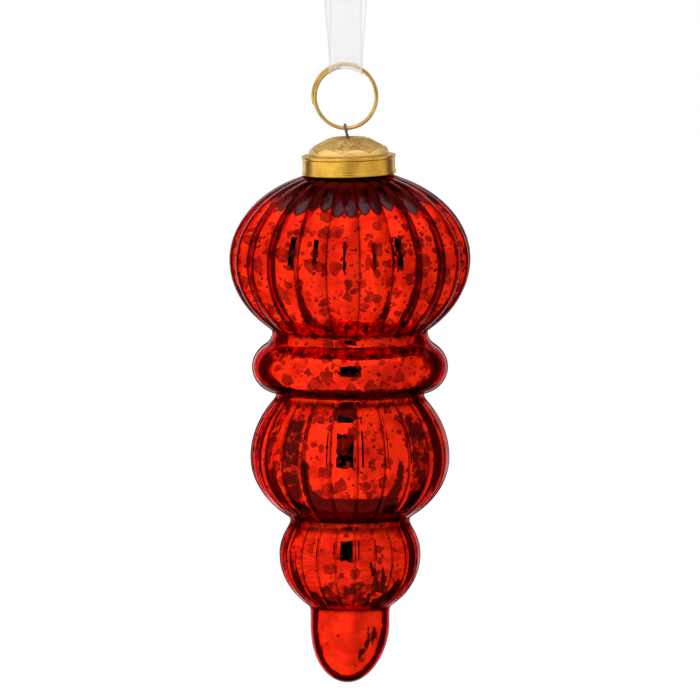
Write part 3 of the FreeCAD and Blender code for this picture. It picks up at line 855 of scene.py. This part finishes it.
def glass_marks(z, angle, at, bulbs):
    """The marks for the glass's material at each point, as shares from 0 to 1, and the ridge in metres."""
    heights, angle = z[:, None], angle[None, :]
    azimuth = (angle + 180) % 360 - 180
    smooth = smooth_radius(heights, at) + 0 * angle
    collar, oval_reflection = collar_marks(heights - at["upper"], angle, azimuth)
    marks = {
        "crease": groove_lines(heights, angle, smooth, bulbs),
        "crowd": spot_crowding(heights, at),
        "oval_reflection": oval_reflection,
        "collar": collar,
        "ridge": mirror_ridges(heights, angle, smooth, at, bulbs) * MM,
        "deep": shade_and_stains(heights, angle, azimuth, at, bulbs),
        "streak": streak_marks(heights, azimuth, at),
    }
    return {name: np.broadcast_to(values, smooth.shape) for name, values in marks.items()}


def column_angles():
    """The angles of the outside's columns, in degrees, from a groove and closer together at the grooves."""
    share = np.arange(FLUTES * COLUMNS_A_FLUTE) / COLUMNS_A_FLUTE
    share = share - GROOVE_CROWDING * np.sin(2 * np.pi * share)
    return share * 360.0 / FLUTES + FLUTE_TURN


def glass_surfaces(angle, at, bulbs):
    """The outside's heights and points, and the inside's points."""
    crown_angle = np.array([FLUTE_TURN + 180.0 / FLUTES])
    fine = np.linspace(at["rim"], at["tip"] + 0.001, OUTLINE_POINTS)
    outline = np.stack([glass_radius(fine, crown_angle, at, bulbs)[:, 0], fine], axis=1)
    z = resampled(outline, OUTSIDE_STEP)[:, 1]
    outer = around(glass_radius(z, angle, at, bulbs), z[:, None], np.radians(angle)[None, :])

    inner_turn = np.radians(np.arange(INSIDE_COLUMNS) * 360.0 / INSIDE_COLUMNS + FLUTE_TURN)
    inner_z = resampled(outline, INSIDE_STEP)[:, 1]
    least = glass_radius(inner_z, angle, at, bulbs).min(axis=1)
    wall = np.where(inner_z > at["upper"] + NECK_FOOT, NECK_WALL, WALL)
    hollow = least > 2 * WALL
    inner = around((least - wall)[hollow][:, None], inner_z[hollow][:, None], inner_turn[None, :])
    return z, outer, inner


def glass_faces(outer_rows, outer_columns, inner_rows):
    """The outside, the inside, the rim between them, and the ends of both."""
    first = outer_rows * outer_columns
    faces = grid_faces(outer_rows, outer_columns) + grid_faces(inner_rows, INSIDE_COLUMNS, first=first)
    ratio = outer_columns // INSIDE_COLUMNS
    for index in range(INSIDE_COLUMNS):
        outside = [(index * ratio + step) % outer_columns for step in range(ratio + 1)]
        faces.append(outside + [first + (index + 1) % INSIDE_COLUMNS, first + index])
    faces.append(list(range(first - outer_columns, first)))
    last = first + inner_rows * INSIDE_COLUMNS
    faces.append(list(range(last - INSIDE_COLUMNS, last)))
    return faces


def make_glass(material):
    """The mould-blown glass: fluted outside, smooth inside, open at the neck."""
    at = glass_levels()
    bulbs = [Bulb(at[name], *sizes) for name, *sizes in BULBS]
    angle = column_angles()
    z, outer, inner = glass_surfaces(angle, at, bulbs)
    points = np.concatenate([outer.reshape(-1, 3), inner.reshape(-1, 3)])
    lean = FINIAL_LEAN * smooth_step(at["finial"], at["tip"], points[:, 2])
    points[:, 0] += glass_middle() - lean
    rim_tilt = (points[:, 0] - NECK_RADIUS) * math.sin(math.radians(CAP_TILT))
    points[:, 2] += rim_tilt * smooth_step(at["rim"] - RIM_REACH, at["rim"], points[:, 2])
    faces = glass_faces(len(z), len(angle), len(inner))
    piece = new_piece("mottled_glass", points * MM, faces, material)
    for name, values in glass_marks(z, angle, at, bulbs).items():
        mark(piece, name, np.concatenate([values.ravel(), np.zeros(inner.shape[0] * inner.shape[1])]))
    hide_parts("glass_body")
    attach(piece, "ornament")


# Cap, hook and ring

def palmette(across, radius):
    """The stamped fan of ribs between two scrolls, at places across and radii on the crown."""
    reach = np.hypot(across, radius - PALMETTE_FROM)
    fan = np.degrees(np.arctan2(across, PALMETTE_FROM - radius))
    ribs = smooth_step(-0.2, 0.9, np.cos(np.radians(fan * 360 / PALMETTE_RIB)))
    ribs *= smooth_step(PALMETTE_HALF[1], PALMETTE_HALF[0], np.abs(fan)) * within(reach, *PALMETTE_REACH)
    ring = np.hypot(np.abs(across) - SCROLL_ACROSS, radius - SCROLL_AT)
    scroll = smooth_step(0.42, 0.12, np.abs(ring - SCROLL_RADIUS)) + smooth_step(0.5, 0.2, ring)
    return np.maximum(ribs, np.clip(scroll, 0, 1))


def lattice(across, radius):
    """The stamped lattice panel, at places across and radii on the crown."""
    bars = [np.cos(2 * np.pi * (across + side * radius) / LATTICE_PITCH) for side in (1, -1)]
    panel = smooth_step(LATTICE_HALF[1], LATTICE_HALF[0], np.abs(across))
    panel = panel * smooth_step(*LATTICE_FROM, radius)
    return smooth_step(0.1, 0.95, np.maximum(*bars)) * panel


def cap_relief(angle, radius, height):
    """How far the stamped pattern stands out on the crown, in mm, and 1 on its petals.

    The places are angles in degrees, radii and heights.
    """
    pitch = 360 / CAP_PETALS
    turn = (angle - CAP_PETAL_TURN + pitch / 2) % pitch - pitch / 2
    sector = np.floor((angle - CAP_PETAL_TURN + pitch / 2) / pitch) % 2
    across = np.radians(turn) * radius
    half_chord = (CAP_RADIUS - CAP_LEDGE) * math.sin(math.radians(pitch / 2))
    sink = CAP_PETAL_HEIGHT - CAP_NOTCH_HEIGHT
    arch = (half_chord ** 2 + sink ** 2) / (2 * sink)
    crest = np.sqrt(arch ** 2 - across ** 2) + CAP_PETAL_HEIGHT - arch
    petal = smooth_step(crest + 0.12, crest - 0.12, height)
    free = smooth_step(crest + 0.15, crest + 0.5, height) * smooth_step(5.5, 5.9, radius)
    pattern = np.where(sector == 0, palmette(across, radius), lattice(across, radius))
    return CAP_PETAL_RISE * petal + CAP_PATTERN_RISE * free * pattern, petal


def cap_outline():
    """The cap's section as two lines of radii and heights: its outside and its underside."""
    inner, edge = CAP_RADIUS - CAP_SHEET, CAP_RADIUS + CAP_BEAD_RISE
    side = CAP_RADIUS - CAP_BAND_SINK
    foot = CAP_RADIUS - CAP_LEDGE
    dimple = CAP_CROWN_HEIGHT - CAP_DIMPLE_DEPTH
    low, high = CAP_LOW_BEAD, CAP_HIGH_BEAD
    outside = rounded(
        [
            (inner, -CAP_DROP), (edge, -CAP_DROP), (edge, -CAP_DROP + low[0]), (side, -CAP_DROP + low[1]),
            (side, high[0]), (edge, high[1]), (edge, CAP_SHEET), (foot, CAP_SHEET),
            (foot, CAP_SHOULDER_HEIGHT), (CAP_RIM_RADIUS, CAP_CROWN_HEIGHT),
            (CAP_DIMPLE_RADIUS, dimple), (CAP_HOLE_RADIUS, dimple),
        ],
        [0.3, 0.5, 0.5, 0.3, 0.3, 0.35, 0.3, CAP_SHOULDER_ROUND, 0.6, 0.6],
        CAP_STEP,
    )
    under = dimple - CAP_SHEET
    underside = rounded(
        [
            (CAP_HOLE_RADIUS, under), (CAP_DIMPLE_RADIUS, under),
            (CAP_RIM_RADIUS, CAP_CROWN_HEIGHT - CAP_SHEET),
            (foot - CAP_SHEET, CAP_SHOULDER_HEIGHT - CAP_SHEET), (foot - CAP_SHEET, CAP_INSIDE_UP),
            (inner, CAP_INSIDE_UP), (inner, -CAP_DROP + 0.2),
        ],
        [0.6, 0.5, CAP_SHOULDER_ROUND - CAP_SHEET, 0.1, 0.1],
        CAP_INSIDE_STEP,
    )
    return outside, underside


def make_cap(material):
    """The stamped cap with its beaded band, scalloped crown, palmettes and lattice panels."""
    outside, underside = cap_outline()
    outline = np.concatenate([outside, underside])
    radius, height = outline[:, :1], outline[:, 1:]
    angle = (np.arange(CAP_COLUMNS) * 360.0 / CAP_COLUMNS)[None, :]
    along = np.gradient(outline, axis=0)
    along /= np.linalg.norm(along, axis=1)[:, None]
    seen = (np.arange(len(outline)) < len(outside))[:, None]
    on_crown = (height > CAP_SHEET + 0.2) & seen
    relief, petal = cap_relief(angle, radius, height)
    relief = np.where(on_crown, relief, 0.0)
    points = around(radius + relief * along[:, 1:], height - relief * along[:, :1], np.radians(angle))
    tilt = math.radians(CAP_TILT)
    x, z = points[:, :, 0].copy(), points[:, :, 2].copy()
    points[:, :, 0] = x * math.cos(tilt) - z * math.sin(tilt) + glass_middle() - CAP_OFF_CENTRE
    points[:, :, 2] = x * math.sin(tilt) + z * math.cos(tilt) + seat_height() / MM
    faces = grid_faces(len(outline), CAP_COLUMNS, wrap_rows=True)
    piece = new_piece("stamped_cap", points * MM, faces, material)
    from_ledge = (height > CAP_SHEET - 0.1) & seen
    mark(piece, "crown", np.broadcast_to(from_ledge, petal.shape))
    mark(piece, "petal", petal * on_crown)
    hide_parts("cap")
    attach(piece, "ornament")


def seat_height():
    """The level of the cap's seat on the neck's tilted rim, in metres."""
    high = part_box("glass_body")[1]
    return high[2] - NECK_RADIUS * MM * math.sin(math.radians(CAP_TILT))


def dress(node, material):
    """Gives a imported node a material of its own."""
    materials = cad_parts[node].data.materials
    materials.clear()
    materials.append(material)


# Ribbon

def ribbon_path(ring_z, fold_z):
    """The loop's line in Y and Z: down the back layer, round the ring's wire and up the front layer."""
    meet = ring_z + LAYERS_MEET
    back, front = WRAP_Y + WRAP_RADIUS, WRAP_Y - WRAP_RADIUS
    lowest = fold_z - WRAP_RADIUS
    return rounded(
        [
            (0.0, 0.0), (LOOP_HALF, 0.0), (back, meet), (back, lowest),
            (front, lowest), (front, meet), (-LOOP_HALF, 0.0), (0.0, 0.0),
        ],
        [LOOP_ROUND, LAYERS_ROUND, WRAP_RADIUS * 0.98, WRAP_RADIUS * 0.98, LAYERS_ROUND, LOOP_ROUND],
        RIBBON_STEP,
    )


def ribbon_points(path, along, across, ring_z, fold_z):
    """The ribbon's points: gathered and bent along the ring at the fold, swaying and rippled above it."""
    along, across = along[:, None], across[None, :]
    y = path[:, :1] + 0 * across
    z = path[:, 1:] + 0 * across
    gather = 1 - GATHER * smooth_step(fold_z + GATHER_REACH, fold_z, z)
    reach = z - ring_z
    curved = reach - np.sqrt(np.maximum(reach ** 2 - (gather * across) ** 2, 1.0))
    fold_reach = fold_z - ring_z
    z = z - curved * smooth_step(fold_reach + SAG_REACH, fold_reach, reach)
    x = across * gather - LAYER_SWAY * np.sin(2 * math.pi * along / along[-1])
    ripple = np.sin(along / RIPPLE_ALONG + across * RIPPLE_ACROSS) * RIPPLE
    y = y + ripple * smooth_step(fold_z + RIPPLE_FADE[0], fold_z + RIPPLE_FADE[1], z)
    points = np.stack([x, y, z], axis=-1)
    points[-1] = points[0]
    return points


def make_ribbon(material):
    """The loop of sheer ribbon: two layers from the ring up to the hanging point."""
    ring_z = -HANG_TO_RING
    fold_z = ring_z + RING_RADIUS + WRAP_UP
    path = ribbon_path(ring_z, fold_z)
    steps = np.linalg.norm(np.diff(path, axis=0), axis=1)
    along = np.concatenate([[0], np.cumsum(steps)])
    across = np.linspace(-RIBBON_WIDTH / 2, RIBBON_WIDTH / 2, RIBBON_COLUMNS)
    points = ribbon_points(path, along, across, ring_z, fold_z) * MM
    faces = grid_faces(len(points), len(across), wrap_columns=False)
    piece = new_piece("ribbon_loop", points, faces, material, closed=False)
    uv = piece.data.uv_layers.new(name="Ribbon")
    vertex = np.empty(len(piece.data.loops), int)
    piece.data.loops.foreach_get("vertex_index", vertex)
    flat = np.stack([across[vertex % len(across)], along[vertex // len(across)]], axis=1) * MM
    uv.data.foreach_set("uv", flat.ravel())
    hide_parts("ribbon")
    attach(piece, "hanger")


# Studio

def direction(azimuth, elevation):
    """The unit vector from the object towards a place in the studio."""
    a, e = math.radians(azimuth), math.radians(elevation)
    return Vector((math.sin(a) * math.cos(e), -math.cos(a) * math.cos(e), math.sin(e)))


def facing(item, target, azimuth, elevation, distance):
    """Puts an item at a direction and distance from the target, facing it."""
    towards = direction(azimuth, elevation)
    item.location = target + towards * distance
    item.rotation_mode = "QUATERNION"
    item.rotation_quaternion = towards.to_track_quat("Z", "Y")


def between(n, value, low, high, soft):
    """1 where a value lies between two limits, 0 elsewhere, with soft edges."""
    above = n.range(value, low - soft, low + soft)
    below = n.range(value, high - soft, high + soft, 1.0, 0.0)
    return n.math("MULTIPLY", above, below)


def cosine(degrees):
    return math.cos(math.radians(degrees))


def light_level(n, ahead, across, height):
    """What mirrors see from each way: the bright front less the dark belt, gap, ceiling and back."""
    gap = n.math(
        "MULTIPLY",
        between(n, across, -GAP_HALF, GAP_HALF, GAP_SOFT),
        between(n, height, GAP_LOW, GAP_HIGH, GAP_SOFT),
    )
    gap = n.math("MULTIPLY", gap, n.math("GREATER_THAN", ahead, 0.0))
    back = cosine(BACK_START)
    behind = n.range(ahead, back - BACK_SOFT, back, BACK_DARK, 0.0)
    high_flank = n.range(height, *FLANK_FADE, 0.0, FLANK_LIGHT)
    flank = n.math("MULTIPLY", n.range(n.math("ABSOLUTE", across), *FLANK_ACROSS), high_flank)
    kept = n.math("SUBTRACT", 1.0, flank)
    belt = between(n, ahead, cosine(BELT_END), cosine(BELT_START), BELT_SOFT)
    belt = n.math("MULTIPLY", n.math("MULTIPLY", belt, kept), BELT_DARK)
    ceiling = between(n, ahead, cosine(CEILING_END), cosine(CEILING_START), CEILING_SOFT)
    ceiling = n.math("MULTIPLY", ceiling, n.range(height, *CEILING_FADE, 0.0, CEILING_DARK))
    ceiling = n.math("MULTIPLY", ceiling, kept)
    level = n.range(across, *LEFT_TO_RIGHT, LEFT_LIGHT, RIGHT_LIGHT)
    level = n.math("ADD", level, n.range(height, *TOP_FADE, 0.0, TOP_LIGHT))
    for shade in (belt, gap, ceiling, behind):
        level = n.math("MULTIPLY", level, n.math("SUBTRACT", 1.0, shade))
    return level


def studio_surroundings():
    """White to the camera and soft to matt things. Mirrors see a bright front and dark gaps."""
    n = Nodes(bpy.data.worlds.new("studio"))
    way = n.add("TexCoord").outputs["Generated"]
    ahead = n.dot(way, direction(CAMERA_AZIMUTH, CAMERA_ELEVATION))
    across = n.dot(way, direction(CAMERA_AZIMUTH + 90, 0))
    height = n.dot(way, (0, 0, 1))
    mirrors, white, soft = (
        n.add("Background", {"Color": (1, 1, 1, 1), "Strength": strength}).outputs[0]
        for strength in (light_level(n, ahead, across, height), 1.0, SOFT_LIGHT)
    )
    path = n.add("LightPath").outputs
    clear = n.math("MAXIMUM", path["Is Camera Ray"], path["Is Transmission Ray"])
    plain = n.add("MixShader", {0: clear, 1: soft, 2: white}).outputs[0]
    return n.finish(n.add("MixShader", {0: path["Is Glossy Ray"], 1: plain, 2: mirrors}))


def make_studio(target):
    """Surroundings, lamps and floor."""
    scene = bpy.context.scene
    scene.world = studio_surroundings()
    for name, azimuth, elevation, width, power in LAMPS:
        light = bpy.data.lights.new(name, "AREA")
        light.shape = "RECTANGLE"
        light.size, light.size_y = width, 1.2 * width
        light.energy = power
        lamp = bpy.data.objects.new(name, light)
        scene.collection.objects.link(lamp)
        facing(lamp, target, azimuth, elevation, LAMP_DISTANCE)
        lamp.visible_glossy = False

    floor_mesh = bpy.data.meshes.new("floor")
    floor_z = cad_box[0][2] - FLOOR_DROP
    corners = [(x * FLOOR_HALF, y * FLOOR_HALF, floor_z) for x, y in ((-1, -1), (1, -1), (1, 1), (-1, 1))]
    floor_mesh.from_pydata(corners, [], [(0, 1, 2, 3)])
    floor_mesh.materials.append(white_stage())
    floor = bpy.data.objects.new("floor", floor_mesh)
    scene.collection.objects.link(floor)
    floor.visible_glossy = False


def make_camera(target):
    """The camera at the photograph's angle, with a long lens."""
    data = bpy.data.cameras.new("camera")
    data.sensor_width = SENSOR
    data.lens = SENSOR * CAMERA_DISTANCE / PICTURE_WIDTH
    camera = bpy.data.objects.new("camera", data)
    bpy.context.scene.collection.objects.link(camera)
    facing(camera, target, CAMERA_AZIMUTH, CAMERA_ELEVATION, CAMERA_DISTANCE)
    bpy.context.scene.camera = camera


# Build

aim = Vector((glass_middle() * MM, 0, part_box("glass_body")[0][2] + AIM_ABOVE_TIP))
make_camera(aim)
make_studio(aim)
make_glass(red_glass())
make_cap(stamped_gold())
dress("split_ring", gold_wire())
dress("wire_hook", dull_steel())
make_ribbon(sheer_ribbon())

bpy.context.scene.view_settings.view_transform = "Standard"
bpy.context.view_layer.update()
